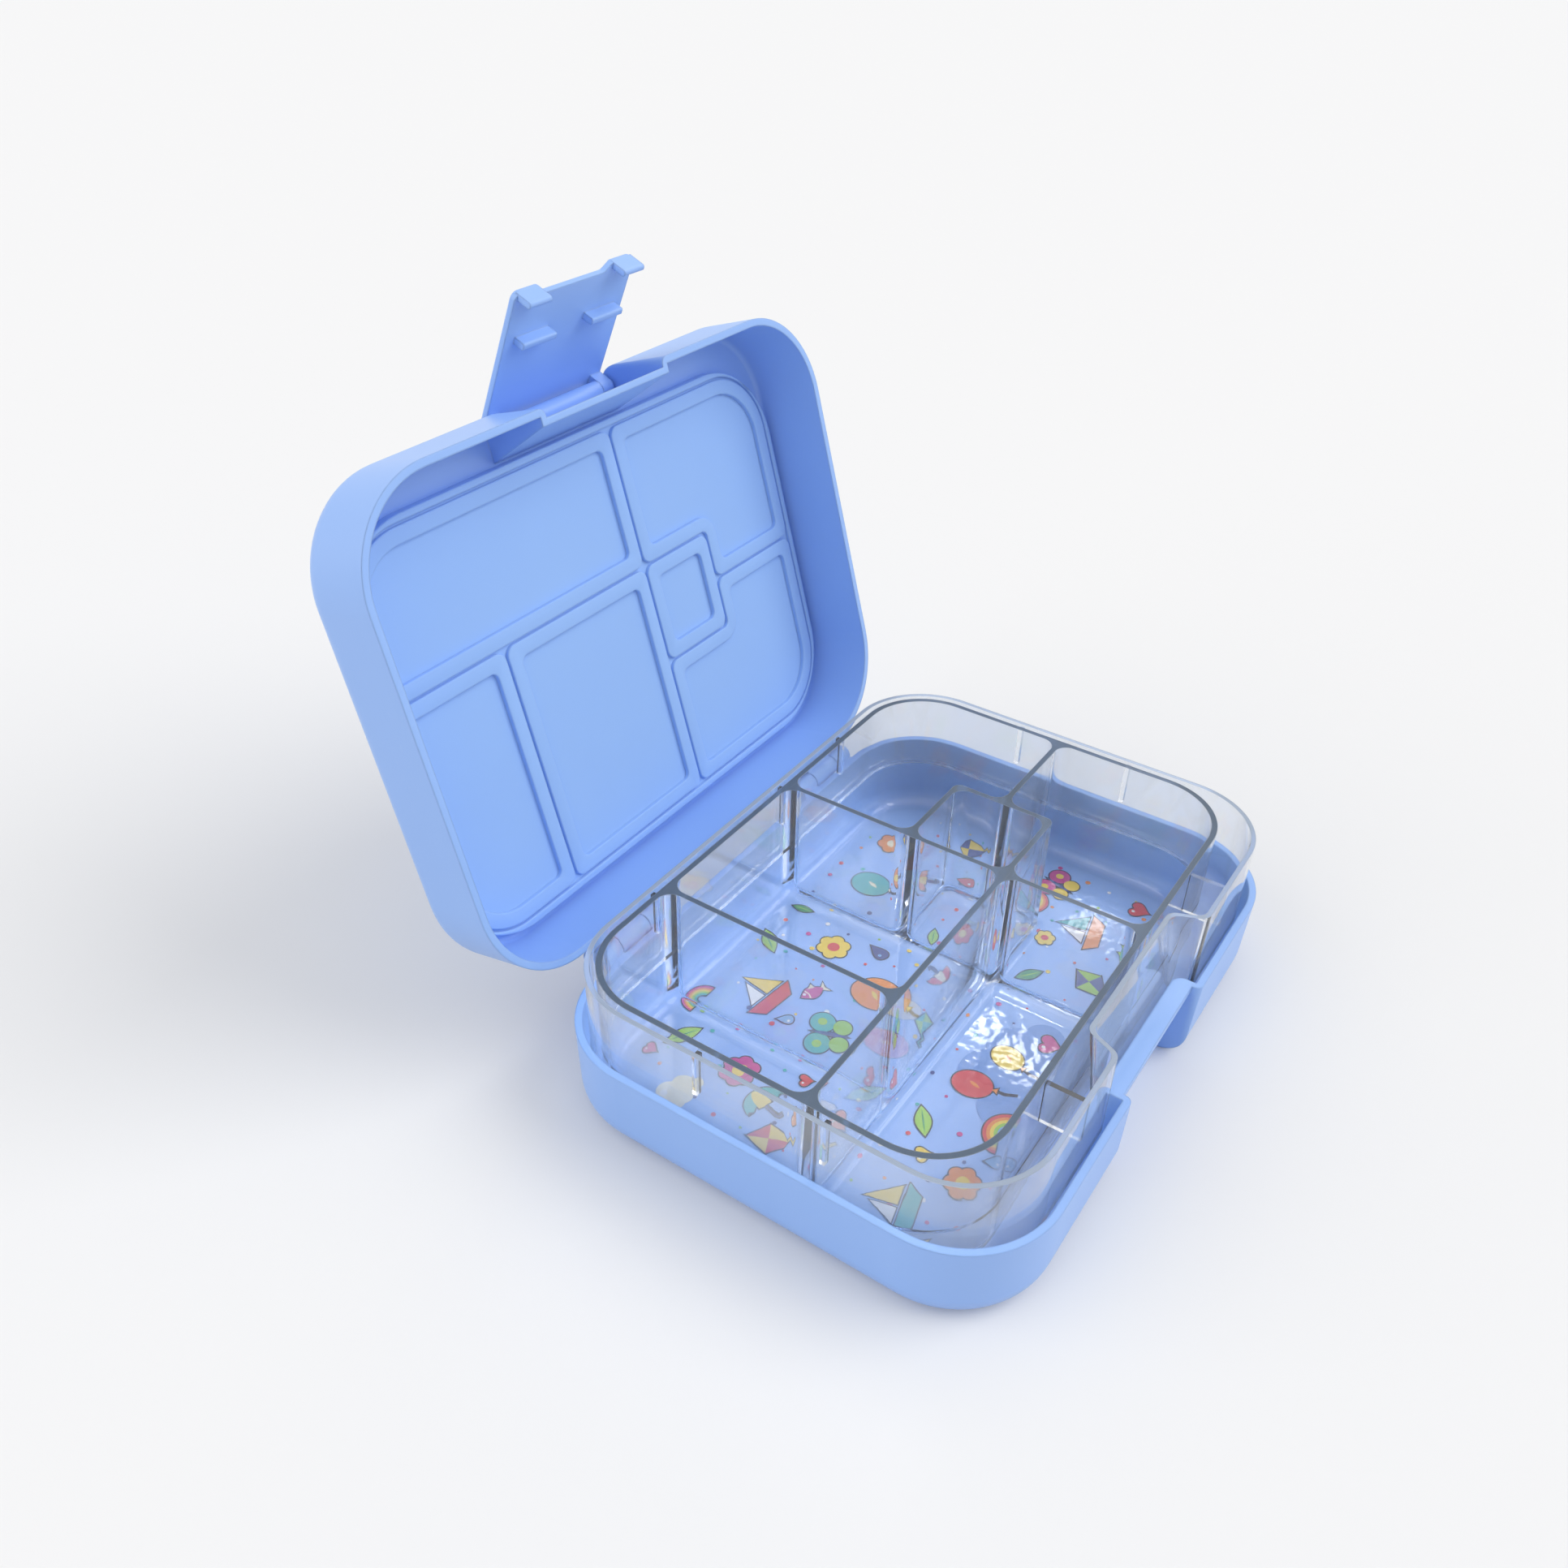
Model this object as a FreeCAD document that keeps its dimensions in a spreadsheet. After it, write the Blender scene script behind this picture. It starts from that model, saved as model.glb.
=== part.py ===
import FreeCAD, Part
import math
import os
import Sketcher

V = FreeCAD.Vector

# Driving sizes in mm and degrees. X runs along the hinge, +Y to the hinge, +Z up,
# origin at the middle of the base's underside.
SIZES = [
    ("box_length", 212.0),
    ("box_depth", 158.0),
    ("shell_wall", 2.4),
    ("corner_radius", 32.0),
    ("shell_draft", 2.0),
    ("base_height", 30.0),
    ("base_floor", 2.4),
    ("base_edge_radius", 9.0),
    ("base_inner_radius", 6.0),
    ("lid_height", 27.7),
    ("lid_plate", 2.5),
    ("lid_edge_radius", 7.0),
    ("lid_inner_radius", 2.0),
    ("parting_gap", 0.3),
    ("recess_width", 54.0),
    ("recess_setback", 3.0),
    ("recess_rounding", 2.5),
    ("recess_inner_rounding", 4.0),
    ("recess_wall", 2.2),
    ("shelf_thickness", 2.5),
    ("base_recess_depth", 7.0),
    ("base_recess_knee", 20.0),
    ("base_recess_foot_depth", 12.5),
    ("lid_recess_depth", 14.0),
    ("hinge_offset", 4.4),
    ("hinge_spacing", 112.0),
    ("knuckle_radius", 3.6),
    ("knuckle_width", 14.0),
    ("base_lug_width", 9.0),
    ("knuckle_gap", 0.4),
    ("knuckle_web", 9.0),
    ("hinge_pin_radius", 1.5),
    ("pin_inset", 0.4),
    ("press_clearance", 0.02),
    ("running_clearance", 0.06),
    ("tray_seat", 0.3),
    ("tray_floor", 1.8),
    ("bowl_wall", 2.0),
    ("side_channel", 1.95),
    ("back_channel", 1.7),
    ("partition_wall", 2.0),
    ("near_partition", 50.1),
    ("middle_partition", 18.1),
    ("cup_partition", 52.2),
    ("front_partition", 12.9),
    ("side_partition", 4.9),
    ("back_partition", 22.5),
    ("compartment_corner", 5.0),
    ("cup_corner", 2.0),
    ("floor_rounding", 4.0),
    ("bowl_foot_rounding", 5.5),
    ("skirt_side_gap", 1.2),
    ("skirt_front_gap", 2.2),
    ("skirt_back_gap", 1.8),
    ("skirt_wall", 1.6),
    ("skirt_dip", 8.0),
    ("skirt_flange", 1.6),
    ("step_side_gap", 0.8),
    ("step_flare", 4.5),
    ("step_rounding", 4.0),
    ("step_top_gap", 1.0),
    ("step_foot_gap", 0.6),
    ("web_height", 15.0),
    ("web_drop", 1.0),
    ("web_wall", 1.6),
    ("web_end", 54.0),
    ("web_side", 21.0),
    ("web_back", 16.3),
    ("seal_gap", 0.3),
    ("seal_side_gap", 3.2),
    ("seal_thickness", 3.8),
    ("seal_front_gap", 0.7),
    ("seal_front_border", 3.6),
    ("seal_corner", 30.0),
    ("ring_width", 5.0),
    ("ring_corner", 3.5),
    ("groove_width", 0.9),
    ("groove_depth", 1.3),
    ("pocket_depth", 1.6),
    ("pocket_corner", 2.5),
    ("latch_side_gap", 1.0),
    ("latch_plate", 2.2),
    ("latch_clear", 0.4),
    ("latch_corner", 1.0),
    ("latch_edge", 0.8),
    ("latch_pin_inset", 7.0),
    ("latch_pin_drop", 3.3),
    ("latch_pin_radius", 1.1),
    ("latch_boss_radius", 3.1),
    ("latch_lug_width", 5.1),
    ("latch_lug_gap", 0.5),
    ("latch_lug_radius", 2.7),
    ("latch_top", 2.2),
    ("latch_reach", 45.0),
    ("catch_inner", 8.0),
    ("catch_width", 14.0),
    ("catch_height", 2.2),
    ("catch_clear", 0.5),
    ("catch_rounding", 0.6),
    ("catch_gap", 0.6),
    ("tab_width", 10.0),
    ("tab_reach", 5.0),
    ("tab_inset", 1.0),
    ("tab_corner", 2.5),
    ("tab_turn", 1.2),
    ("tab_flare", 3.0),
    ("tab_rounding", 0.9),
    ("tab_wall", 2.0),
    ("tab_dip", 2.6),
    ("dip_turn", 2.0),
    ("cut_margin", 5.0),
    ("lid_open", 106.0),
    ("latch_open", 51.0),
]

doc = FreeCAD.newDocument("bento_box")
sheet = doc.addObject("Spreadsheet::Sheet", "Sizes")
for row, (name, number) in enumerate(SIZES, 1):
    sheet.set("A%d" % row, name)
    sheet.set("B%d" % row, "%g" % number)
    sheet.setAlias("B%d" % row, name)
doc.recompute()


def sized(text):
    """Write a formula over the sheet: every word that names a size points at its cell."""
    names = {name for name, number in SIZES}
    return " ".join("Sizes." + word if word in names else word for word in text.split())


def value(text):
    return float(sheet.evalExpression(sized(text)))


def bind(thing, prop, text):
    thing.setExpression(prop, sized(text))


def origin_plane(body, role):
    return [item for item in body.Origin.OriginFeatures if item.Role == role][0]


def new_body(name):
    return doc.addObject("PartDesign::Body", name)


def new_sketch(body, name, role, offset="0"):
    sketch = body.newObject("Sketcher::SketchObject", name)
    sketch.AttachmentSupport = [(origin_plane(body, role), "")]
    sketch.MapMode = "FlatFace"
    bind(sketch, ".AttachmentOffset.Base.z", offset)
    return sketch


def rounded_rectangle(body, name, offset, half, back, front, radius):
    """Constrained outline on a level plane: half to each side, back to +Y, front to -Y."""
    sketch = new_sketch(body, name, "XY_Plane", offset)
    w, b, f, r = value(half), value(back), value(front), value(radius)
    sides = [
        (V(r - w, -f, 0), V(w - r, -f, 0)),
        (V(w, r - f, 0), V(w, b - r, 0)),
        (V(w - r, b, 0), V(r - w, b, 0)),
        (V(-w, b - r, 0), V(-w, r - f, 0)),
    ]
    centres = [V(w - r, r - f, 0), V(w - r, b - r, 0), V(r - w, b - r, 0), V(r - w, r - f, 0)]
    for start, end in sides:
        sketch.addGeometry(Part.LineSegment(start, end), False)
    for turn, centre in enumerate(centres):
        first = math.radians(90 * turn - 90)
        circle = Part.Circle(centre, V(0, 0, 1), r)
        sketch.addGeometry(Part.ArcOfCircle(circle, first, first + math.pi / 2), False)
    for side in range(4):
        sketch.addConstraint(Sketcher.Constraint("Tangent", side, 2, 4 + side, 1))
        sketch.addConstraint(Sketcher.Constraint("Tangent", 4 + side, 2, (side + 1) % 4, 1))
    for side in (0, 2):
        sketch.addConstraint(Sketcher.Constraint("Horizontal", side))
        sketch.addConstraint(Sketcher.Constraint("Vertical", side + 1))
    for corner in (5, 6, 7):
        sketch.addConstraint(Sketcher.Constraint("Equal", 4, corner))
    measures = [
        (Sketcher.Constraint("Radius", 4, r), "corner", radius),
        (Sketcher.Constraint("DistanceX", -1, 1, 1, 1, w), "right", half),
        (Sketcher.Constraint("DistanceX", 3, 1, -1, 1, w), "left", half),
        (Sketcher.Constraint("DistanceY", -1, 1, 2, 1, b), "back", back),
        (Sketcher.Constraint("DistanceY", 0, 1, -1, 1, f), "front", front),
    ]
    for constraint, label, text in measures:
        index = sketch.addConstraint(constraint)
        sketch.renameConstraint(index, label)
        bind(sketch, "Constraints." + label, text)
    return sketch


def outline(sketch, corners):
    """Closed outline through (x, y, radius) corners, each rounded where its radius is not 0."""
    spans = []
    count = len(corners)
    for index in range(count):
        before = V(*corners[index - 1][:2], 0)
        here = V(*corners[index][:2], 0)
        after = V(*corners[(index + 1) % count][:2], 0)
        radius = corners[index][2]
        to_before = (before - here).normalize()
        to_after = (after - here).normalize()
        half_angle = to_before.getAngle(to_after) / 2
        if radius == 0:
            spans.append((here, None, here))
            continue
        reach = radius / math.tan(half_angle)
        bisector = (to_before + to_after).normalize()
        middle = here + bisector * (radius / math.sin(half_angle) - radius)
        spans.append((here + to_before * reach, middle, here + to_after * reach))
    for index, (start, middle, end) in enumerate(spans):
        if middle is not None:
            sketch.addGeometry(Part.Arc(start, middle, end), False)
        following = spans[(index + 1) % count][0]
        sketch.addGeometry(Part.LineSegment(end, following), False)


def loft(body, kind, name, first, second):
    feature = body.newObject("PartDesign::" + kind, name)
    feature.Profile = first
    feature.Sections = [second]
    feature.Ruled = True
    doc.recompute()
    return feature


def extrude(body, kind, name, sketch, length, both_sides=False, flipped=False):
    feature = body.newObject("PartDesign::" + kind, name)
    feature.Profile = sketch
    bind(feature, "Length", length)
    if both_sides:
        feature.SideType = "Symmetric"
    feature.Reversed = flipped
    doc.recompute()
    return feature


def tapered_block(body, name, sketch, length, rim_height, flipped):
    """Block from a rim outline, its sides drawn in by the shell draft away from the rim."""
    block = extrude(body, "Pad", name, sketch, length, flipped=flipped)
    sides = []
    rims = []
    for index, face in enumerate(block.Shape.Faces, 1):
        box = face.BoundBox
        if box.ZLength > 1:
            sides.append("Face%d" % index)
        elif abs(box.ZMax - rim_height) < 1e-3:
            rims.append("Face%d" % index)
    feature = body.newObject("PartDesign::Draft", name + "_draft")
    feature.Base = (block, sides)
    feature.NeutralPlane = (block, rims)
    feature.Reversed = flipped
    bind(feature, "Angle", "shell_draft")
    doc.recompute()
    return feature


def mirror(body, name, features):
    feature = body.newObject("PartDesign::Mirrored", name)
    feature.Originals = features
    feature.MirrorPlane = (origin_plane(body, "YZ_Plane"), [""])
    body.Tip = feature
    doc.recompute()
    return feature


def fillet(body, name, base, radius, chosen):
    """Round the edges of a feature that the given test picks out."""
    edges = []
    for index, edge in enumerate(base.Shape.Edges, 1):
        if chosen(edge):
            edges.append("Edge%d" % index)
    feature = body.newObject("PartDesign::Fillet", name)
    feature.Base = (base, edges)
    bind(feature, "Radius", radius)
    doc.recompute()
    return feature


def level(edge, height):
    """True for an edge that lies in the level plane at a height."""
    box = edge.BoundBox
    return abs(box.ZMin - height) < 1e-3 and abs(box.ZMax - height) < 1e-3


def side_profile(body, name, points, offset="0"):
    """Sketch on the YZ plane from (y, z, radius) corners."""
    sketch = new_sketch(body, name, "YZ_Plane", offset)
    outline(sketch, points)
    return sketch


def circle_profile(body, name, height, forward, radius, offset="0"):
    """Circle on the YZ plane, its centre and radius bound to the sheet."""
    sketch = new_sketch(body, name, "YZ_Plane", offset)
    y, z, r = value(forward), value(height), value(radius)
    sketch.addGeometry(Part.Circle(V(y, z, 0), V(0, 0, 1), r), False)
    measures = [
        (Sketcher.Constraint("Radius", 0, r), "radius", radius),
        (Sketcher.Constraint("DistanceX", -1, 1, 0, 3, y), "forward", forward),
        (Sketcher.Constraint("DistanceY", -1, 1, 0, 3, z), "height", height),
    ]
    for constraint, label, text in measures:
        index = sketch.addConstraint(constraint)
        sketch.renameConstraint(index, label)
        bind(sketch, "Constraints." + label, text)
    return sketch


def pin(name, label, radius, length, centre, forward, height):
    """Round pin along X, its size and place bound to the sheet."""
    rod = doc.addObject("Part::Cylinder", name)
    rod.Label = label
    bind(rod, "Radius", radius)
    bind(rod, "Height", length)
    rod.Placement = FreeCAD.Placement(
        V(value(centre) - value(length) / 2, value(forward), value(height)),
        FreeCAD.Rotation(V(0, 1, 0), 90),
    )
    return rod


# Levels and lines shared by the pieces
HALF = "box_length / 2"
EDGE = "box_depth / 2"
RIM = "base_height"
LID_RIM = RIM + " + parting_gap"
LID_TOP = LID_RIM + " + lid_height"
LID_UNDER = LID_TOP + " - lid_plate"
TRAY_FOOT = "base_floor + tray_seat"
FLOOR = TRAY_FOOT + " + tray_floor"
TRAY_TOP = LID_UNDER + " - seal_thickness - seal_gap"
HINGE_Y = EDGE + " + hinge_offset"
HINGE_Z = RIM + " + parting_gap / 2"
LATCH_Y = "latch_pin_inset - " + EDGE
LATCH_Z = LID_TOP + " - latch_pin_drop"
LATCH_HALF = "recess_width / 2 - latch_side_gap"
BOSS_HALF = LATCH_HALF + " - latch_lug_width - latch_lug_gap"
STEP_HALF = "recess_width / 2 + recess_wall + step_side_gap"
BOWL_SIDE = " - shell_wall - skirt_side_gap - skirt_wall - side_channel - bowl_wall"
BOWL_HALF = HALF + BOWL_SIDE
BOWL_CORNER = "corner_radius" + BOWL_SIDE
BOWL_BACK = EDGE + " - shell_wall - skirt_back_gap - skirt_wall - back_channel - bowl_wall"
BRIDGE_RISE = "( lid_recess_depth - recess_setback ) * ( lid_height - lid_plate ) / lid_height"
SEAL_FRONT = EDGE + " - recess_setback - recess_wall - seal_front_gap - " + BRIDGE_RISE
BOWL_FRONT = SEAL_FRONT + " - seal_front_border"
BIG = value("box_depth")
MARGIN = value("cut_margin")


# Base shell
rim_z = value(RIM)
front = value(EDGE)
half_recess = value("recess_width / 2")
shelf_z = value(RIM + " - shelf_thickness")
shelf_front = value("recess_setback") - front
base_wall_y = value("base_recess_depth") - front
base_foot_y = value("base_recess_foot_depth") - front
knee_z = value("base_recess_knee")

base = new_body("base_outer")
rim = rounded_rectangle(base, "base_rim", RIM, HALF, EDGE, EDGE, "corner_radius")
tub = tapered_block(base, "base_block", rim, RIM, rim_z, True)
fillet(base, "base_edge", tub, "base_edge_radius", lambda edge: level(edge, 0))


def front_notch(body, name, offset, length):
    """Shallow notch across the front, its outer corners rounded out into the front face."""
    sketch = new_sketch(body, name, "XY_Plane", offset)
    turn = value("recess_rounding")
    outline(sketch, [
        (-half_recess, shelf_front, 0), (-half_recess, -front, turn),
        (-2 * half_recess, -front, 0), (-2 * half_recess, -BIG, 0),
        (2 * half_recess, -BIG, 0), (2 * half_recess, -front, 0),
        (half_recess, -front, turn), (half_recess, shelf_front, 0),
    ])
    return extrude(body, "Pocket", name + "_cut", sketch, length, flipped=True)


front_notch(base, "base_notch", "0", RIM)
cut = side_profile(base, "finger_cut", [
    (-BIG, shelf_z, 0),
    (-BIG, -BIG, 0),
    (base_foot_y + (base_foot_y - base_wall_y) * BIG / knee_z, -BIG, 0),
    (base_wall_y, knee_z, 0),
    (base_wall_y, shelf_z, 0),
])
extrude(base, "Pocket", "finger_cavity", cut, "recess_width", both_sides=True)


def lug(body, name, offset, width, up):
    """Hinge lug: a round eye with a web that runs up or down into the shell wall."""
    y, z, r = value(HINGE_Y), value(HINGE_Z), value("knuckle_radius")
    wall_y = front - value("shell_wall") / 2
    edge_z = value(LID_RIM) if up > 0 else rim_z
    eye = V(y - math.sqrt(r * r - (edge_z - z) ** 2), edge_z, 0)
    round_end = V(y + r * math.sqrt(0.5), z - up * r * math.sqrt(0.5), 0)
    tangent = V(y + r * 0.6, z + up * r * 0.8, 0)
    root = V(wall_y, z + up * value("knuckle_web"), 0)
    corner = V(wall_y, edge_z, 0)
    sketch = new_sketch(body, name, "YZ_Plane", offset)
    sketch.addGeometry(Part.LineSegment(corner, eye), False)
    sketch.addGeometry(Part.Arc(eye, round_end, tangent), False)
    sketch.addGeometry(Part.LineSegment(tangent, root), False)
    sketch.addGeometry(Part.LineSegment(root, corner), False)
    return extrude(body, "Pad", name + "_pad", sketch, width)


def bore(body, name, forward, height, radius, offset, length):
    """Round hole along +X from an offset plane."""
    sketch = circle_profile(body, name, height, forward, radius, offset)
    return extrude(body, "Pocket", name + "_hole", sketch, length, flipped=True)


KNUCKLE_IN = "hinge_spacing / 2 - knuckle_width / 2"
KNUCKLE_OUT = "hinge_spacing / 2 + knuckle_width / 2"
LUG_IN = KNUCKLE_IN + " - knuckle_gap - base_lug_width"
LUG_OUT = KNUCKLE_OUT + " + knuckle_gap"
HINGE_SPAN = "knuckle_width + 2 * knuckle_gap + 2 * base_lug_width"

inner_lug = lug(base, "inner_lug", LUG_IN, "base_lug_width", -1)
outer_lug = lug(base, "outer_lug", LUG_OUT, "base_lug_width", -1)
lug_bore = bore(
    base, "lug_bore", HINGE_Y, HINGE_Z, "hinge_pin_radius + press_clearance", LUG_IN, HINGE_SPAN,
)
mirror(base, "base_lugs", [inner_lug, outer_lug, lug_bore])

hollow = new_body("base_hollow")
rim = rounded_rectangle(
    hollow, "hollow_rim", RIM,
    HALF + " - shell_wall", EDGE + " - shell_wall", EDGE + " - shell_wall",
    "corner_radius - shell_wall",
)
room = tapered_block(hollow, "hollow_room", rim, RIM + " - base_floor", rim_z, True)
fillet(
    hollow, "hollow_edge", room, "base_inner_radius",
    lambda edge: level(edge, value("base_floor")),
)
block_y = base_wall_y + value("recess_wall")
block_half = half_recess + value("recess_wall")
turn = value("recess_inner_rounding")
sketch = new_sketch(hollow, "shelf_block", "XY_Plane", RIM)
outline(sketch, [
    (-block_half, -BIG, 0), (block_half, -BIG, 0),
    (block_half, block_y, turn), (-block_half, block_y, turn),
])
extrude(hollow, "Pocket", "shelf_block_cut", sketch, RIM + " - base_recess_knee")
slope = (base_foot_y - base_wall_y) / knee_z
keep = side_profile(hollow, "recess_keep", [
    (-BIG, knee_z, 0),
    (-BIG, -BIG, 0),
    (block_y + slope * (knee_z + BIG), -BIG, 0),
    (block_y, knee_z, 0),
])
extrude(hollow, "Pocket", "recess_block", keep, "recess_width + 2 * recess_wall", both_sides=True)

base_shell = doc.addObject("Part::Cut", "base_cut")
base_shell.Base = base
base_shell.Tool = hollow
base_shell.Label = "base_shell"


# Lid shell, drawn closed and turned open about the hinge axis
lid_rim_z = value(LID_RIM)
lid_top_z = value(LID_TOP)
lid_floor_y = value("lid_recess_depth") - front
lean = (lid_floor_y - shelf_front) / (lid_top_z - lid_rim_z)


def lid_floor(z, inward):
    """Forward place of the lid's sloped recess wall at a height, inward of its outer face."""
    return shelf_front + lean * (z - lid_rim_z) + inward


lid = new_body("lid_outer")
rim = rounded_rectangle(lid, "lid_rim", LID_RIM, HALF, EDGE, EDGE, "corner_radius")
cap = tapered_block(lid, "lid_block", rim, "lid_height", lid_rim_z, False)
fillet(lid, "lid_edge", cap, "lid_edge_radius", lambda edge: level(edge, lid_top_z))
front_notch(lid, "lid_notch", LID_RIM, "lid_height")
cut = side_profile(lid, "latch_cut", [
    (-BIG, lid_rim_z - MARGIN, 0),
    (lid_floor(lid_rim_z - MARGIN, 0), lid_rim_z - MARGIN, 0),
    (lid_floor(lid_top_z + MARGIN, 0), lid_top_z + MARGIN, 0),
    (-BIG, lid_top_z + MARGIN, 0),
])
extrude(lid, "Pocket", "latch_recess", cut, "recess_width", both_sides=True)

pin_y = value(LATCH_Y)
pin_z = value(LATCH_Z)
boss_r = value("latch_boss_radius")
sketch = new_sketch(lid, "latch_boss", "YZ_Plane")
boss_back = lid_floor(pin_z - boss_r, value("recess_wall") / 2)
sketch.addGeometry(Part.LineSegment(V(boss_back, pin_z + boss_r, 0), V(pin_y, pin_z + boss_r, 0)))
sketch.addGeometry(Part.Arc(
    V(pin_y, pin_z + boss_r, 0), V(pin_y - boss_r, pin_z, 0), V(pin_y, pin_z - boss_r, 0),
))
sketch.addGeometry(Part.LineSegment(V(pin_y, pin_z - boss_r, 0), V(boss_back, pin_z - boss_r, 0)))
sketch.addGeometry(Part.LineSegment(V(boss_back, pin_z - boss_r, 0), V(boss_back, pin_z + boss_r, 0)))
extrude(lid, "Pad", "latch_boss_pad", sketch, "2 * ( " + BOSS_HALF + " )", both_sides=True)
sketch = circle_profile(
    lid, "boss_bore", LATCH_Z, LATCH_Y, "latch_pin_radius + press_clearance",
)
extrude(lid, "Pocket", "boss_bore_hole", sketch, "recess_width", both_sides=True)
knuckle = lug(lid, "lid_knuckle", KNUCKLE_IN, "knuckle_width", 1)
knuckle_bore = bore(
    lid, "knuckle_bore", HINGE_Y, HINGE_Z,
    "hinge_pin_radius + running_clearance", KNUCKLE_IN, "knuckle_width",
)
mirror(lid, "lid_knuckles", [knuckle, knuckle_bore])

cover = new_body("lid_hollow")
rim = rounded_rectangle(
    cover, "cover_rim", LID_RIM,
    HALF + " - shell_wall", EDGE + " - shell_wall", EDGE + " - shell_wall",
    "corner_radius - shell_wall",
)
room = tapered_block(cover, "cover_room", rim, "lid_height - lid_plate", lid_rim_z, False)
fillet(
    cover, "cover_edge", room, "lid_inner_radius",
    lambda edge: level(edge, value(LID_UNDER)),
)
keep = side_profile(cover, "bridge_keep", [
    (-BIG, lid_rim_z - MARGIN, 0),
    (lid_floor(lid_rim_z - MARGIN, value("recess_wall")), lid_rim_z - MARGIN, 0),
    (lid_floor(lid_top_z + MARGIN, value("recess_wall")), lid_top_z + MARGIN, 0),
    (-BIG, lid_top_z + MARGIN, 0),
])
extrude(cover, "Pocket", "bridge_block", keep, "recess_width + 2 * recess_wall", both_sides=True)

lid_shell = doc.addObject("Part::Cut", "lid_cut")
lid_shell.Base = lid
lid_shell.Tool = cover
lid_shell.Label = "lid_shell"


# Six compartments share one plan for the tray and the seal
bowl_half = value(BOWL_HALF)
bowl_front = value(BOWL_FRONT)
bowl_back = value(BOWL_BACK)
bowl_corner = value(BOWL_CORNER)


def compartments(clear, corner, outer_corner, border):
    """Plan of the six compartments, each held clear of the partition lines and the bowl rim."""
    left, right = border - bowl_half, bowl_half - border
    south, north = border - bowl_front, bowl_back - border
    near, mid, cup = -value("near_partition"), value("middle_partition"), value("cup_partition")
    fore, side, aft = -value("front_partition"), value("side_partition"), value("back_partition")
    c, big = corner, outer_corner
    nose = value("cup_corner") + clear
    return [
        [(left, south, big), (mid - clear, south, c), (mid - clear, fore - clear, c),
         (left, fore - clear, c)],
        [(mid + clear, south, c), (right, south, big), (right, side - clear, c),
         (cup + clear, side - clear, c), (cup + clear, fore - clear, nose),
         (mid + clear, fore - clear, c)],
        [(mid + clear, fore + clear, c), (cup - clear, fore + clear, c),
         (cup - clear, aft - clear, c), (mid + clear, aft - clear, c)],
        [(cup + clear, side + clear, c), (right, side + clear, c), (right, north, big),
         (mid + clear, north, c), (mid + clear, aft + clear, c),
         (cup + clear, aft + clear, nose)],
        [(near + clear, fore + clear, c), (mid - clear, fore + clear, c),
         (mid - clear, north, c), (near + clear, north, c)],
        [(left, fore + clear, c), (near - clear, fore + clear, c), (near - clear, north, c),
         (left, north, big)],
    ]


def plan(body, name, offset, outlines):
    sketch = new_sketch(body, name, "XY_Plane", offset)
    for corners in outlines:
        outline(sketch, corners)
    return sketch


# Tray
tray = new_body("tray")
tray.Label = "tray"
tray_top_z = value(TRAY_TOP)


def skirt_plan(name, offset, step, inset):
    """Skirt outline with the latch step, drawn in from the outer face by an inset."""
    side = value(HALF + " - shell_wall - skirt_side_gap") - inset
    fore = value("shell_wall + skirt_front_gap") - front + inset
    aft = value(EDGE + " - shell_wall - skirt_back_gap") - inset
    corner = value("corner_radius - shell_wall - skirt_side_gap") - inset
    turn = value("step_rounding")
    slant = math.hypot(value("step_flare"), step - fore)
    spread = inset * (slant - value("step_flare")) / (step - fore + inset)
    inner = value(STEP_HALF) + spread
    outer = inner + value("step_flare")
    return plan(tray, name, offset, [[
        (-side, fore, corner), (-outer, fore, turn), (-inner, step + inset, turn),
        (inner, step + inset, turn), (outer, fore, turn), (side, fore, corner),
        (side, aft, corner), (-side, aft, corner),
    ]])


step_top = lid_floor(tray_top_z, value("recess_wall")) + value("step_top_gap")
step_foot = base_wall_y + value("recess_wall + step_foot_gap")
wall = value("skirt_wall")
low = skirt_plan("skirt_foot", RIM + " - skirt_dip", step_foot, 0)
high = skirt_plan("skirt_lip", TRAY_TOP, step_top, 0)
loft(tray, "AdditiveLoft", "skirt_block", low, high)
low = skirt_plan("channel_foot", RIM + " - skirt_dip + skirt_flange", step_foot, wall)
high = skirt_plan("channel_lip", TRAY_TOP, step_top, wall)
loft(tray, "SubtractiveLoft", "skirt_channel", low, high)
bowl = rounded_rectangle(
    tray, "bowl", TRAY_FOOT,
    BOWL_HALF + " + bowl_wall", BOWL_BACK + " + bowl_wall", BOWL_FRONT + " + bowl_wall",
    BOWL_CORNER + " + bowl_wall",
)
body = extrude(tray, "Pad", "bowl_block", bowl, TRAY_TOP + " - ( " + TRAY_FOOT + " )")
body = fillet(
    tray, "bowl_foot", body, "bowl_foot_rounding",
    lambda edge: level(edge, value(TRAY_FOOT)),
)
rooms = plan(tray, "rooms", TRAY_TOP, compartments(
    value("partition_wall / 2"), value("compartment_corner"), bowl_corner, 0,
))
body = extrude(tray, "Pocket", "room_pockets", rooms, TRAY_TOP + " - ( " + FLOOR + " )")
fillet(
    tray, "room_floors", body, "floor_rounding", lambda edge: level(edge, value(FLOOR)),
)
webs = new_sketch(tray, "webs", "XY_Plane", TRAY_TOP + " - web_drop")


def web(x0, x1, y0, y1):
    outline(webs, [(x0, y0, 0), (x1, y0, 0), (x1, y1, 0), (x0, y1, 0)])


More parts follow.
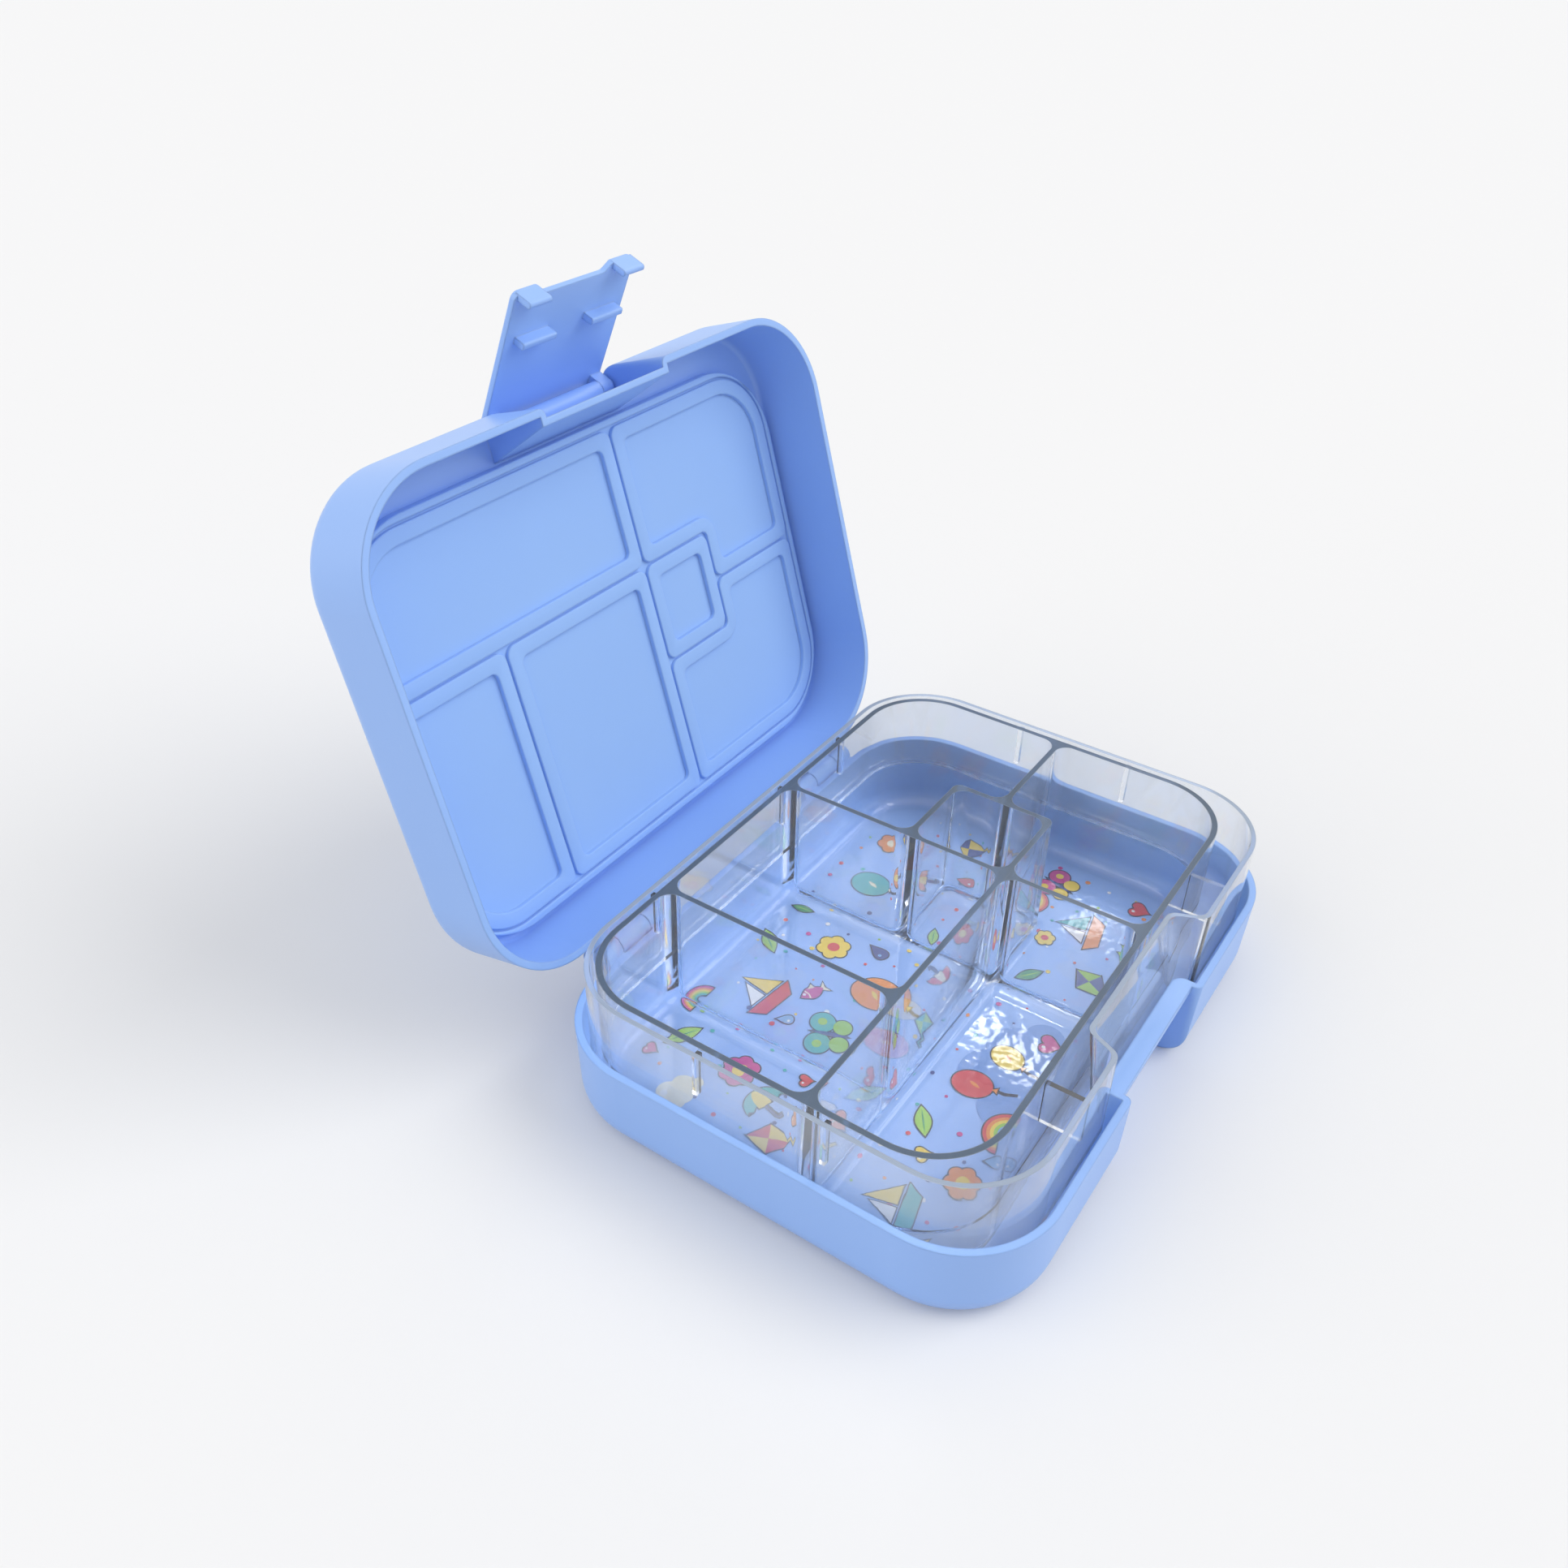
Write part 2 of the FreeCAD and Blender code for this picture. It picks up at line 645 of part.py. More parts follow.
half_wall = value("bowl_wall / 2")
bowl_side = bowl_half + half_wall
skirt_side = value(HALF + " - shell_wall - skirt_side_gap - skirt_wall / 2")
bowl_fore = -bowl_front - half_wall
skirt_fore = value("shell_wall + skirt_front_gap + skirt_wall / 2") - front
bowl_aft = bowl_back + half_wall
skirt_aft = value(EDGE + " - shell_wall - skirt_back_gap - skirt_wall / 2")
half_web = value("web_wall / 2")
for place in (-value("web_side"), value("web_side")):
    web(-skirt_side, -bowl_side, place - half_web, place + half_web)
    web(bowl_side, skirt_side, place - half_web, place + half_web)
for place in (-value("web_end"), value("web_end")):
    web(place - half_web, place + half_web, skirt_fore, bowl_fore)
for place in (-value("web_end"), value("web_back"), value("web_end")):
    web(place - half_web, place + half_web, bowl_aft, skirt_aft)
extrude(tray, "Pad", "web_pads", webs, "web_height", flipped=True)


# Seal under the lid plate, one ring for each compartment
seal = new_body("lid_seal")
seal.Label = "lid_seal"
SEAL_FACE = TRAY_TOP + " + seal_gap"
seal_plan = rounded_rectangle(
    seal, "seal_plan", SEAL_FACE,
    HALF + " - shell_wall - seal_side_gap",
    EDGE + " - shell_wall - seal_side_gap",
    SEAL_FRONT,
    "seal_corner",
)
extrude(seal, "Pad", "seal_slab", seal_plan, "seal_thickness")
half_groove = value("groove_width / 2")
ring = value("ring_width")
edge = half_wall + half_groove
grooves = plan(seal, "grooves", SEAL_FACE, [[
    (-bowl_half - edge, -bowl_front - edge, bowl_corner + edge),
    (bowl_half + edge, -bowl_front - edge, bowl_corner + edge),
    (bowl_half + edge, bowl_back + edge, bowl_corner + edge),
    (-bowl_half - edge, bowl_back + edge, bowl_corner + edge),
]] + compartments(
    half_groove, value("ring_corner"), bowl_corner + half_wall - half_groove,
    half_groove - half_wall,
))
extrude(seal, "Pocket", "groove_cut", grooves, "groove_depth", flipped=True)
pockets = plan(seal, "pockets", SEAL_FACE, compartments(
    half_groove + ring, value("pocket_corner"), bowl_corner + half_wall - half_groove - ring,
    half_groove + ring - half_wall,
))
extrude(seal, "Pocket", "pocket_cut", pockets, "pocket_depth", flipped=True)


# Latch, drawn closed against the closed lid
latch = new_body("latch")
latch.Label = "latch"
plate_in = shelf_front - value("latch_clear")
plate_out = plate_in - value("latch_plate")
inside = (plate_in + plate_out) / 2
tip_z = pin_z - value("latch_reach")
half_latch = value(LATCH_HALF)
crown_z = pin_z + value("latch_top")
dip_z = tip_z + value("tab_dip")
tab_edge = half_latch - value("tab_width")
dip_edge = tab_edge - value("tab_flare")
corner, turn = value("tab_corner"), value("tab_turn")
dip_turn, crown = value("dip_turn"), value("latch_corner")
sketch = new_sketch(
    latch, "plate_face", "XZ_Plane", EDGE + " - recess_setback + latch_clear + latch_plate",
)
outline(sketch, [
    (-half_latch, tip_z, corner), (-tab_edge, tip_z, turn), (-dip_edge, dip_z, dip_turn),
    (dip_edge, dip_z, dip_turn), (tab_edge, tip_z, turn), (half_latch, tip_z, corner),
    (half_latch, crown_z, crown), (-half_latch, crown_z, crown),
])
plate = extrude(latch, "Pad", "plate", sketch, "latch_plate", flipped=True)


def on_face(edge):
    """True for an edge round the plate's outer face."""
    box = edge.BoundBox
    return abs(box.YMin - plate_out) < 1e-3 and abs(box.YMax - plate_out) < 1e-3


fillet(latch, "plate_edge", plate, "latch_edge", on_face)

LUG_NEAR = BOSS_HALF + " + latch_lug_gap"
lug_r = value("latch_lug_radius")
sketch = new_sketch(latch, "latch_lug", "YZ_Plane", LUG_NEAR)
shoulder = crown_z - crown
sketch.addGeometry(Part.LineSegment(V(inside, pin_z - lug_r, 0), V(pin_y, pin_z - lug_r, 0)))
sketch.addGeometry(Part.Arc(
    V(pin_y, pin_z - lug_r, 0), V(pin_y + lug_r, pin_z, 0), V(pin_y, pin_z + lug_r, 0),
))
sketch.addGeometry(Part.LineSegment(V(pin_y, pin_z + lug_r, 0), V(inside, shoulder, 0)))
sketch.addGeometry(Part.LineSegment(V(inside, shoulder, 0), V(inside, pin_z - lug_r, 0)))
lug_pad = extrude(latch, "Pad", "latch_lug_pad", sketch, "latch_lug_width")
lug_hole = bore(
    latch, "latch_lug_bore", LATCH_Y, LATCH_Z,
    "latch_pin_radius + running_clearance", LUG_NEAR, "latch_lug_width",
)
catch_top = shelf_z - value("catch_gap")
catch_foot = catch_top - value("catch_height")
catch_in = base_wall_y - value("catch_clear")
turn = value("catch_rounding")
sketch = side_profile(latch, "catch_bar", [
    (inside, catch_foot, 0), (catch_in, catch_foot, turn),
    (catch_in, catch_top, turn), (inside, catch_top, 0),
], "catch_inner")
bar = extrude(latch, "Pad", "catch_bar_pad", sketch, "catch_width")
tab_in = plate_in + value("tab_reach")
tab_top = tip_z + value("tab_wall")
turn = value("tab_rounding")
sketch = side_profile(latch, "finger_tab", [
    (inside, tip_z, 0), (tab_in, tip_z, turn), (tab_in, tab_top, turn), (inside, tab_top, 0),
], LATCH_HALF + " - tab_width")
tab = extrude(latch, "Pad", "finger_tab_pad", sketch, "tab_width - tab_inset")
mirror(latch, "latch_pairs", [lug_pad, lug_hole, bar, tab])


# Pins
latch_pin = pin(
    "latch_pin", "latch_pin", "latch_pin_radius", "2 * ( " + LATCH_HALF + " - pin_inset )",
    "0", LATCH_Y, LATCH_Z,
)
pin(
    "hinge_pin_left", "hinge_pin_left", "hinge_pin_radius", HINGE_SPAN + " - 2 * pin_inset",
    "0 - hinge_spacing / 2", HINGE_Y, HINGE_Z,
)
pin(
    "hinge_pin_right", "hinge_pin_right", "hinge_pin_radius", HINGE_SPAN + " - 2 * pin_inset",
    "hinge_spacing / 2", HINGE_Y, HINGE_Z,
)
doc.recompute()

# Rest pose: the lid turned open on its hinge, the latch turned out on its pin
opened = FreeCAD.Placement(
    V(0, 0, 0), FreeCAD.Rotation(V(1, 0, 0), -value("lid_open")),
    V(0, value(HINGE_Y), value(HINGE_Z)),
)
flipped = FreeCAD.Placement(
    V(0, 0, 0), FreeCAD.Rotation(V(1, 0, 0), -value("latch_open")), V(0, pin_y, pin_z),
)
lid_shell.Placement = opened
seal.Placement = opened
latch.Placement = opened.multiply(flipped)
latch_pin.Placement = opened.multiply(latch_pin.Placement)
doc.recompute()

NODES = [
    "base_shell", "tray", "lid_shell", "lid_seal", "latch",
    "latch_pin", "hinge_pin_left", "hinge_pin_right",
]
for thing in doc.Objects:
    if "Invalid" in thing.State or "Error" in thing.State:
        raise RuntimeError("not built: " + thing.Name)
os.makedirs("parts", exist_ok=True)
for node in NODES:
    shape = doc.getObjectsByLabel(node)[0].Shape
    if shape.isNull() or not shape.isValid() or len(shape.Solids) != 1:
        raise RuntimeError("bad solid: " + node)
    shape.exportStep("parts/%s.step" % node)
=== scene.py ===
import math

import bmesh
import bpy
from mathutils import Matrix, Vector


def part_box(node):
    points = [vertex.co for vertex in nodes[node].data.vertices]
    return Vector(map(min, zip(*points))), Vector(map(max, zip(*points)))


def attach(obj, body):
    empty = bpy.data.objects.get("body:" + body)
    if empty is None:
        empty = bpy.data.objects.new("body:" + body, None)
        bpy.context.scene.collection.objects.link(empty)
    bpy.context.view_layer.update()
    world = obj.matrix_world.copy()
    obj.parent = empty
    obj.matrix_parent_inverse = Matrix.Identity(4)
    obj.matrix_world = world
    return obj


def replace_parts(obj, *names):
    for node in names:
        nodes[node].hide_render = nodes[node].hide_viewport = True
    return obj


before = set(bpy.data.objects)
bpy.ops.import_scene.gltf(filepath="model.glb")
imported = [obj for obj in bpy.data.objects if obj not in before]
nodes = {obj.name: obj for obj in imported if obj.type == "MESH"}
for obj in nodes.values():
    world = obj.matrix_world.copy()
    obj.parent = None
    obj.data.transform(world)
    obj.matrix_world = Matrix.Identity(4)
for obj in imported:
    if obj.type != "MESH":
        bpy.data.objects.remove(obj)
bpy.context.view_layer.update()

MM = 0.001
scene = bpy.context.scene

# Places on the tray
TRAY_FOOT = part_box("tray")[0][2]
TRAY_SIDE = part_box("tray")[1][0]
TRAY_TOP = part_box("tray")[1][2]
TRAY_FLOOR = TRAY_FOOT + 1.8 * MM

# The tray's material slots after its clear walls
RIM, LIP = 1, 2
TOP_BAND = 0.02 * MM
LIP_BAND = 0.5 * MM

# Skins of the seal and the tray
MERGE_GAP = 0.002 * MM
FLAT_TURN = math.radians(0.3)
SMOOTH_TURN = math.radians(32)
SHARP_TURN = math.radians(35)
SEAL_ROUNDING = 0.6 * MM
ROUNDING_STEPS = 3

# Colours, linear
SHELL_BLUE = (0.300, 0.500, 0.945, 1)
SHELL_BLUE_PALE = (0.330, 0.530, 0.960, 1)
# Pale tone of the shell's scuffs and edges; on the edges it is partly painted highlight
SHELL_SCUFF_AND_HIGHLIGHT = (0.48, 0.66, 0.97, 1)
SEAL_BLUE = (0.30, 0.505, 0.925, 1)
SEAL_BLUE_PALE = (0.325, 0.535, 0.94, 1)
# Pale tone of the seal's scuffs and edges; on the edges it is partly painted highlight
SEAL_SCUFF_AND_HIGHLIGHT = (0.42, 0.58, 0.94, 1)
STEEL_GREY = (0.62, 0.63, 0.65, 1)
STEEL_DARK = (0.42, 0.43, 0.45, 1)
TRAY_TINT = (0.95, 0.965, 0.99, 1)
# Upright walls: the floor tint a touch darker, painted shade for light's longer path along them
TRAY_WALL_SHADE = (0.93, 0.955, 0.99, 1)
TRAY_SHADOW = (0.95, 0.96, 0.97, 1)
# Painted shade of the tray's clear rims and lip seen end on, and their painted highlight lines
TRAY_RIM_SHADE = (0.135, 0.180, 0.245, 1)
TRAY_RIM_SHADE_PALE = (0.20, 0.265, 0.355, 1)
TRAY_RIM_HIGHLIGHT = (0.80, 0.85, 0.92, 1)
TRAY_LIP_SHADE = (0.50, 0.60, 0.76, 1)
TRAY_LIP_SHADE_PALE = (0.60, 0.70, 0.85, 1)
FLOOR_WHITE = (0.858, 0.858, 0.858, 1)
FLOOR_BOUNCE = (0.60, 0.60, 0.62, 1)
STUDIO_WHITE = (0.99, 0.99, 1.0, 1)

INK = {
    "outline": (0.020, 0.024, 0.060, 1),
    "red": (0.72, 0.035, 0.055, 1),
    "orange": (0.86, 0.27, 0.03, 1),
    "yellow": (0.90, 0.66, 0.06, 1),
    "lime": (0.33, 0.62, 0.06, 1),
    "green": (0.05, 0.33, 0.11, 1),
    "teal": (0.04, 0.46, 0.47, 1),
    "sky": (0.21, 0.45, 0.80, 1),
    "pale": (0.19, 0.37, 0.80, 1),
    "navy": (0.03, 0.06, 0.30, 1),
    "magenta": (0.62, 0.04, 0.30, 1),
    "cream": (0.88, 0.82, 0.62, 1),
    "white": (0.90, 0.90, 0.92, 1),
}

# Moulded finish, shared by the shells, the seal, the pins and the tray's rims; its pale edges are
# partly wear and partly painted highlight
MOTTLE_SCALE = 22
SCUFF_STRETCH = (90, 900, 420)
SCUFF_SLANT = (0.3, 0.2, 0.7)
SCUFF_BAND = (0.62, 0.78)
EDGE_BAND = (0.995, 0.80)
EDGE_SAMPLES = 4
ROUGHNESS_DRIFT = (-0.05, 0.05)
WORN_ROUGHNESS = 0.25
GRAIN_RELIEF = 0.1 * MM

# Clear plastic of the tray
CLEAR_SHARE = 0.96
CLEAR_IOR = 1.26
HAZE_SCALE = 35
HAZE_BAND = (0.35, 0.75)
HAZE_ROUGHNESS = (0.01, 0.06)
RIPPLE_SCALE = 230
RIPPLE_REACH = 3 * MM
RIPPLE_RELIEF = 0.4 * MM
RIPPLE_STRENGTH = (0.03, 0.16)
EDGE_CLEAR_SHARE = 0.4


def feed(tree, node, values):
    """Link or set a node's inputs."""
    for label, value in values.items():
        socket = node.inputs[label]
        if isinstance(value, bpy.types.NodeSocket):
            tree.links.new(value, socket)
        else:
            socket.default_value = value


def add(tree, kind, values=None, **settings):
    """New node with its settings made and its inputs fed."""
    node = tree.nodes.new(kind)
    for name, setting in settings.items():
        setattr(node, name, setting)
    feed(tree, node, values or {})
    return node


def combined(tree, operation, *values):
    return add(
        tree, "ShaderNodeMath", dict(enumerate(values)), operation=operation,
    ).outputs["Value"]


def mapped(tree, value, given=(0, 1), wanted=(0, 1)):
    return add(tree, "ShaderNodeMapRange", {
        "Value": value,
        "From Min": given[0], "From Max": given[1],
        "To Min": wanted[0], "To Max": wanted[1],
    }).outputs["Result"]


def mixed(tree, factor, first, second, blend="MIX"):
    return add(
        tree, "ShaderNodeMix", {"Factor": factor, "A": first, "B": second},
        data_type="RGBA", blend_type=blend,
    ).outputs["Result"]


def noise(tree, place, scale, detail):
    return add(
        tree, "ShaderNodeTexNoise", {"Vector": place, "Scale": scale, "Detail": detail},
    ).outputs["Fac"]


def object_place(tree):
    return add(tree, "ShaderNodeTexCoord").outputs["Object"]


def new_material(name):
    material = bpy.data.materials.new(name)
    material.use_nodes = True
    tree = material.node_tree
    tree.nodes.clear()
    shader = add(tree, "ShaderNodeBsdfPrincipled")
    add(tree, "ShaderNodeOutputMaterial", {"Surface": shader.outputs["BSDF"]}, name="surface")
    return material, tree, shader


def moulded_finish_group():
    """Moulded plastic: soft mottling, fine grain, hairline scuffs, and pale edges that are partly
    wear and partly painted highlight.
    """
    group = bpy.data.node_groups.new("moulded finish", "ShaderNodeTree")
    face = group.interface
    for label, kind, start in (
        ("Colour", "NodeSocketColor", (0.5, 0.5, 0.5, 1)),
        ("Pale Colour", "NodeSocketColor", (0.6, 0.6, 0.6, 1)),
        ("Wear And Highlight Colour", "NodeSocketColor", (0.8, 0.8, 0.8, 1)),
        ("Roughness", "NodeSocketFloat", 0.35),
        ("Grain Scale", "NodeSocketFloat", 2500.0),
        ("Grain Depth", "NodeSocketFloat", 0.05),
        ("Scuffs", "NodeSocketFloat", 0.2),
        ("Edge Width", "NodeSocketFloat", 0.6 * MM),
        ("Edge Wear And Highlight", "NodeSocketFloat", 0.3),
    ):
        socket = face.new_socket(name=label, in_out="INPUT", socket_type=kind)
        socket.default_value = start
    for label, kind in (
        ("Colour", "NodeSocketColor"),
        ("Roughness", "NodeSocketFloat"),
        ("Normal", "NodeSocketVector"),
    ):
        face.new_socket(name=label, in_out="OUTPUT", socket_type=kind)
    given = add(group, "NodeGroupInput").outputs
    place = object_place(group)

    mottle = noise(group, place, MOTTLE_SCALE, 3)
    tint = mixed(group, mottle, given["Colour"], given["Pale Colour"])

    stretched = add(group, "ShaderNodeMapping", {
        "Vector": place, "Scale": SCUFF_STRETCH, "Rotation": SCUFF_SLANT,
    }).outputs["Vector"]
    hairlines = mapped(group, noise(group, stretched, 1, 4), SCUFF_BAND)
    scuffs = combined(group, "MULTIPLY", hairlines, given["Scuffs"])

    rounded = add(
        group, "ShaderNodeBevel", {"Radius": given["Edge Width"]}, samples=EDGE_SAMPLES,
    ).outputs["Normal"]
    facing = add(group, "ShaderNodeVectorMath", {
        0: rounded, 1: add(group, "ShaderNodeNewGeometry").outputs["Normal"],
    }, operation="DOT_PRODUCT").outputs["Value"]
    # pale rounded edges: partly wear, partly a painted highlight where light would catch them
    patchy = combined(group, "MULTIPLY", mapped(group, facing, EDGE_BAND), mottle)
    wear_and_highlight = combined(group, "MULTIPLY", patchy, given["Edge Wear And Highlight"])
    marks_and_highlights = combined(group, "MAXIMUM", wear_and_highlight, scuffs)

    uneven = combined(
        group, "ADD", given["Roughness"], mapped(group, mottle, wanted=ROUGHNESS_DRIFT),
    )
    grain = noise(group, place, given["Grain Scale"], 2)
    relief = add(group, "ShaderNodeBump", {
        "Distance": GRAIN_RELIEF, "Strength": given["Grain Depth"],
        "Height": grain, "Normal": rounded,
    }).outputs["Normal"]
    add(group, "NodeGroupOutput", {
        "Colour": mixed(group, marks_and_highlights, tint, given["Wear And Highlight Colour"]),
        "Roughness": combined(group, "MULTIPLY_ADD", marks_and_highlights, WORN_ROUGHNESS, uneven),
        "Normal": relief,
    })
    return group


MOULDED = moulded_finish_group()


def moulded_material(name, colours, roughness, grain, scuffs, edge_width, edge_wear_and_highlight):
    """Material in the moulded finish; its grain is a scale and a depth."""
    material, tree, shader = new_material(name)
    finish = add(tree, "ShaderNodeGroup", {
        "Colour": colours[0], "Pale Colour": colours[1], "Wear And Highlight Colour": colours[2],
        "Roughness": roughness, "Grain Scale": grain[0], "Grain Depth": grain[1],
        "Scuffs": scuffs, "Edge Width": edge_width, "Edge Wear And Highlight": edge_wear_and_highlight,
    }, node_tree=MOULDED).outputs
    feed(tree, shader, {
        "Base Color": finish["Colour"],
        "Roughness": finish["Roughness"],
        "Normal": finish["Normal"],
    })
    return material, tree, shader


def shell_plastic():
    material, tree, shader = moulded_material(
        "shell plastic", (SHELL_BLUE, SHELL_BLUE_PALE, SHELL_SCUFF_AND_HIGHLIGHT), roughness=0.34,
        grain=(2600, 0.04), scuffs=0.10, edge_width=0.9 * MM, edge_wear_and_highlight=0.35,
    )
    feed(tree, shader, {"IOR": 1.49})
    return material


def seal_silicone():
    material, tree, shader = moulded_material(
        "seal silicone", (SEAL_BLUE, SEAL_BLUE_PALE, SEAL_SCUFF_AND_HIGHLIGHT), roughness=0.62,
        grain=(1700, 0.08), scuffs=0.06, edge_width=0.7 * MM, edge_wear_and_highlight=0.15,
    )
    feed(tree, shader, {"IOR": 1.41, "Sheen Weight": 0.15, "Sheen Roughness": 0.5})
    return material


def pin_steel():
    material, tree, shader = moulded_material(
        "pin steel", (STEEL_GREY, STEEL_DARK, STEEL_GREY), roughness=0.28,
        grain=(3000, 0.05), scuffs=0.4, edge_width=0.2 * MM, edge_wear_and_highlight=0.2,
    )
    feed(tree, shader, {"Metallic": 1})
    return material


def tray_clear():
    """Clear moulded plastic: wavy floors, faint haze, and upright walls a touch darker than floors
    in painted shade.
    """
    material, tree, shader = new_material("tray clear")
    place = object_place(tree)
    normal = add(tree, "ShaderNodeNewGeometry").outputs["Normal"]
    slope = add(tree, "ShaderNodeSeparateXYZ", {"Vector": normal}).outputs["Z"]
    level = combined(tree, "ABSOLUTE", slope)
    haze = noise(tree, place, HAZE_SCALE, 4)
    height = add(tree, "ShaderNodeSeparateXYZ", {"Vector": place}).outputs["Z"]
    wave = add(tree, "ShaderNodeBump", {
        "Distance": RIPPLE_RELIEF,
        "Strength": mapped(
            tree, height, (TRAY_FLOOR + RIPPLE_REACH, TRAY_FLOOR), RIPPLE_STRENGTH,
        ),
        "Height": noise(tree, place, RIPPLE_SCALE, 1),
    }).outputs["Normal"]
    feed(tree, shader, {
        # upright walls take a darker tint than floors: painted shade
        "Base Color": mixed(tree, level, TRAY_WALL_SHADE, TRAY_TINT),
        "Roughness": mapped(tree, haze, HAZE_BAND, HAZE_ROUGHNESS),
        "Normal": wave,
        "Coat Normal": wave,
        "Coat Weight": 0.6,
        "Coat Roughness": 0.03,
        "Transmission Weight": CLEAR_SHARE,
        "IOR": CLEAR_IOR,
    })
    shadow = add(tree, "ShaderNodeBsdfTransparent", {"Color": TRAY_SHADOW})
    surface = add(tree, "ShaderNodeMixShader", {
        "Fac": add(tree, "ShaderNodeLightPath").outputs["Is Shadow Ray"],
        1: shader.outputs["BSDF"],
        2: shadow.outputs["BSDF"],
    })
    feed(tree, tree.nodes["surface"], {"Surface": surface.outputs["Shader"]})
    return material


def tray_edge(name, colours):
    """Top of a clear wall, where it is seen end on: painted dark as painted shade for light
    refracted in the wall, with painted highlight lines along its edges.
    """
    material, tree, shader = moulded_material(
        name, colours, roughness=0.22, grain=(1500, 0.03), scuffs=0.10,
        edge_width=0.5 * MM, edge_wear_and_highlight=0.9,
    )
    feed(tree, shader, {"Transmission Weight": EDGE_CLEAR_SHARE, "IOR": CLEAR_IOR})
    return material


def place_piece(name, mesh, body):
    piece = bpy.data.objects.new(name, mesh)
    scene.collection.objects.link(piece)
    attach(piece, body)
    return piece


def merged(node):
    """Copy of a node's mesh as one closed skin."""
    shape = bmesh.new()
    shape.from_mesh(nodes[node].data)
    bmesh.ops.remove_doubles(shape, verts=shape.verts, dist=MERGE_GAP)
    return shape


def moulding(name, shape, node, body, materials):
    """Finished piece in place of a node, shaded smooth across its roundings."""
    for face in shape.faces:
        face.smooth = True
    for edge in shape.edges:
        edge.smooth = edge.is_manifold and edge.calc_face_angle(0) < SMOOTH_TURN
    mesh = bpy.data.meshes.new(name)
    shape.to_mesh(mesh)
    shape.free()
    for material in materials:
        mesh.materials.append(material)
    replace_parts(place_piece(name, mesh, body), node)


def soft_seal():
    """Seal with the edges of its rings rounded, as silicone leaves the mould."""
    shape = merged("lid_seal")
    bmesh.ops.dissolve_limit(shape, angle_limit=FLAT_TURN, verts=shape.verts, edges=shape.edges)
    edges = [e for e in shape.edges if e.calc_face_angle_signed(0) > SHARP_TURN]
    bmesh.ops.bevel(
        shape, geom=edges, offset=SEAL_ROUNDING, offset_type="OFFSET", segments=ROUNDING_STEPS,
        profile=0.5, affect="EDGES", clamp_overlap=True,
    )
    moulding("seal_moulding", shape, "lid_seal", "lid", [seal_silicone()])


def joined(faces):
    """Groups of faces that share edges."""
    waiting = set(faces)
    while waiting:
        group = [waiting.pop()]
        for face in group:
            for edge in face.edges:
                for other in edge.link_faces:
                    if other in waiting:
                        waiting.discard(other)
                        group.append(other)
        yield group


def clear_tray():
    """Tray as moulded, with its bowl rim and skirt lip in painted shade and painted highlight
    lines, as light shows an end-on clear wall.
    """
    shape = merged("tray")
    tops = [f for f in shape.faces if min(v.co.z for v in f.verts) > TRAY_TOP - TOP_BAND]
    for ring in joined(tops):
        reach = max(v.co.x for face in ring for v in face.verts)
        for face in ring:
            face.material_index = LIP if reach > TRAY_SIDE - LIP_BAND else RIM
    moulding("tray_moulding", shape, "tray", "base", [
        tray_clear(),
        tray_edge("tray rim", (TRAY_RIM_SHADE, TRAY_RIM_SHADE_PALE, TRAY_RIM_HIGHLIGHT)),
        tray_edge("tray lip", (TRAY_LIP_SHADE, TRAY_LIP_SHADE_PALE, TRAY_RIM_HIGHLIGHT)),
    ])


def dress(material, *names):
    for name in names:
        data = nodes[name].data
        data.materials.clear()
        data.materials.append(material)


dress(shell_plastic(), "base_shell", "lid_shell", "latch")
dress(pin_steel(), "latch_pin", "hinge_pin_left", "hinge_pin_right")
soft_seal()
clear_tray()


# Printed motifs under the tray's floor, in mm on the floor plan
def disc(x, y, radius, sides=28, squash=1.0):
    turns = [2 * math.pi * step / sides for step in range(sides)]
    return [(x + radius * math.cos(a), y + radius * squash * math.sin(a)) for a in turns]


def lens(length, width, steps=12):
    upper = [(2 * s / steps - 1, math.sin(math.pi * s / steps)) for s in range(steps + 1)]
    ring = upper + [(x, -y) for x, y in reversed(upper[1:-1])]
    return [(length * x, width * y) for x, y in ring]


def spun(points, angle):
    c, s = math.cos(angle), math.sin(angle)
    return [(c * x - s * y, s * x + c * y) for x, y in points]


def heart(first, second):
    shape = []
    for step in range(40):
        a = 2 * math.pi * step / 40
        x = 16 * math.sin(a) ** 3
        y = 13 * math.cos(a) - 5 * math.cos(2 * a) - 2 * math.cos(3 * a) - math.cos(4 * a)
        shape.append((-x / 16, y / 16))
    return [(first, shape), (second, disc(-0.42, 0.38, 0.16))]


def flower(first, second):
    petals = []
    for step in range(6):
        a = math.pi * step / 3
        petals.append((first, disc(0.58 * math.cos(a), 0.58 * math.sin(a), 0.40)))
    return petals + [(second, disc(0, 0, 0.36))]


def leaf(first, second):
    return [(first, lens(1.0, 0.42)), (second, lens(0.8, 0.05))]


def drop(first, second):
    shape = []
    for step in range(30):
        a = 2 * math.pi * step / 30
        shape.append((0.9 * math.sin(a) * math.sin(a / 2) ** 1.6, math.cos(a)))
    return [(first, [(-x, y) for x, y in shape]), (second, disc(-0.2, -0.45, 0.16))]


def kite(first, second):
    tail = [(0.0, -1.0), (0.12, -1.0), (0.30, -1.4), (0.02, -1.75), (0.2, -2.1), (0.12, -2.15),
            (-0.12, -1.75), (0.16, -1.4)]
    return [
        (second, tail),
        (first, [(0, 1), (-0.7, 0.15), (0, -1), (0.7, 0.15)]),
        (second, [(0, 1), (-0.7, 0.15), (0, 0.15)]),
        (second, [(0, 0.15), (0, -1), (0.7, 0.15)]),
    ]


